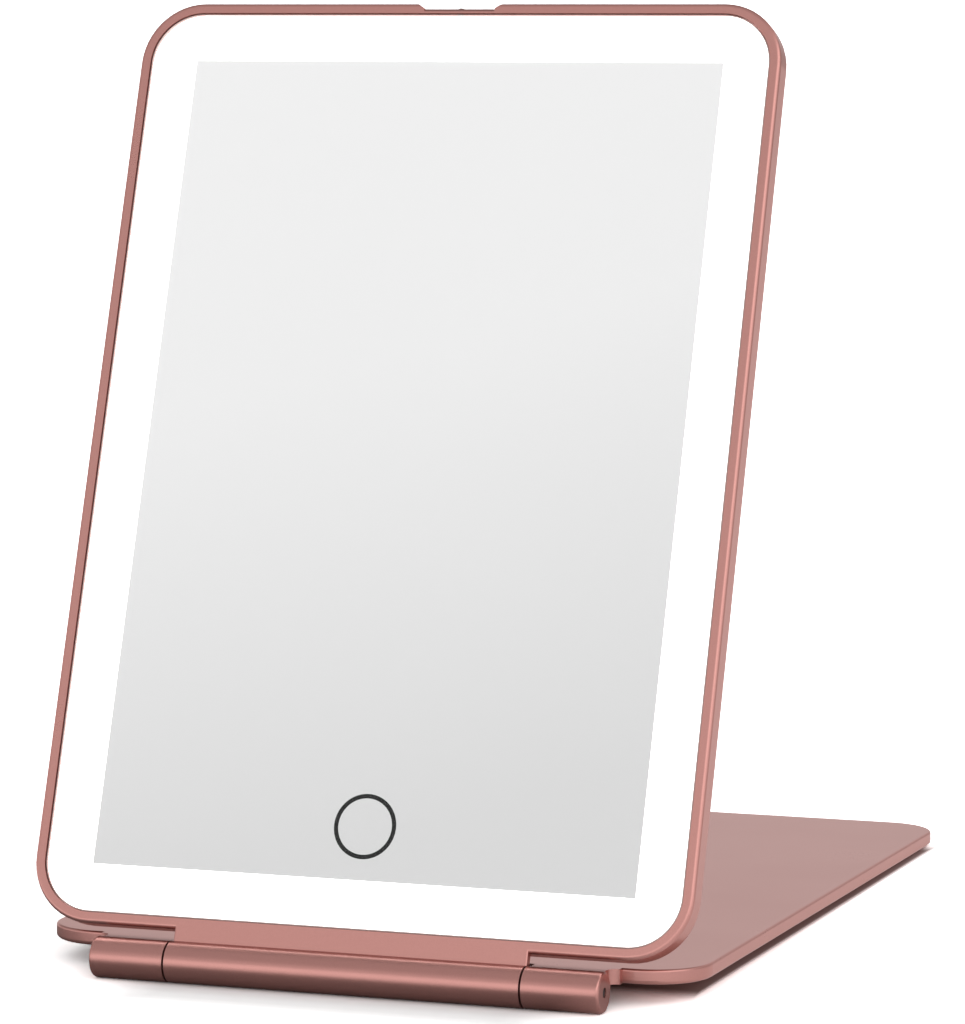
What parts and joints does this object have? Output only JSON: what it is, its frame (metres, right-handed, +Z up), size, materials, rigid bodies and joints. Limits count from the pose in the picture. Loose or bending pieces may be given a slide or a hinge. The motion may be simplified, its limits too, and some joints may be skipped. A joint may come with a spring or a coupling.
{
  "type": "folding lighted travel mirror",
  "caption": "Flat travel mirror with a lit border and touch ring, hinged along its lower edge to a thin cover plate that stands it up at an angle and folds over the glass.",
  "frame": {"origin": "on the table, under the middle of the open mirror's box", "axes": "+Z up, +X along the hinge to the viewer's right, +Y from the front to the back of the cover"},
  "size_m": [0.16, 0.2358, 0.2219],
  "materials": {
    "rose_shell": "satin rose metallic paint on moulded plastic",
    "clear_glass": "polished float glass",
    "silver_coat": "silvered coating",
    "clear_bond": "clear adhesive sheet",
    "opal_sheet": "opal light diffuser",
    "ring_ink": "black print",
    "copper_foil": "thin copper foil",
    "contact_foam": "conductive foam",
    "smoked_lens": "smoked clear lens",
    "white_board": "white solder mask",
    "led_body": "phosphor over white housing",
    "green_board": "green solder mask",
    "plain_steel": "bright steel",
    "chip_resin": "black moulded resin",
    "ferrite": "dark ferrite",
    "socket_core": "black moulded insulator",
    "tape": "foam tape",
    "cell_foil": "laminated pouch foil",
    "red_lead": "wire insulation",
    "black_lead": "wire insulation",
    "white_lead": "wire insulation",
    "bush_bronze": "sintered bronze",
    "pad_rubber": "soft silicone"
  },
  "bodies": {
    "mirror_panel": {"front_frame": "rose_shell", "rear_shell": "rose_shell", "mirror_glass": "clear_glass", "mirror_silvering": "silver_coat", "glass_bond": "clear_bond", "light_diffuser": "opal_sheet", "touch_ring": "ring_ink", "touch_disc": "silver_coat", "touch_electrode": "copper_foil", "touch_contact": "contact_foam", "indicator_lens": "smoked_lens", "led_board": "white_board", "leds": "led_body", "control_board": "green_board", "board_screws": "plain_steel", "control_chips": "chip_resin", "driver_coil": "ferrite", "charging_socket_shell": "plain_steel", "charging_socket_tongue": "socket_core", "battery_tape": "tape", "battery_cell": "cell_foil", "battery_lead_red": "red_lead", "battery_lead_black": "black_lead", "led_leads": "white_lead", "hinge_bush_left": "bush_bronze", "hinge_bush_right": "bush_bronze"},
    "cover": {"cover_plate": "rose_shell", "cover_pads": "pad_rubber", "hinge_pin_left": "plain_steel", "hinge_pin_right": "plain_steel"}
  },
  "joints": [
    {"name": "panel_fold", "type": "hinge", "parent": "cover", "child": "mirror_panel", "pos_m": [0, -0.11316, 0.00475], "axis": [1, 0, 0], "range_deg": [-6, 288.59]}
  ]
}
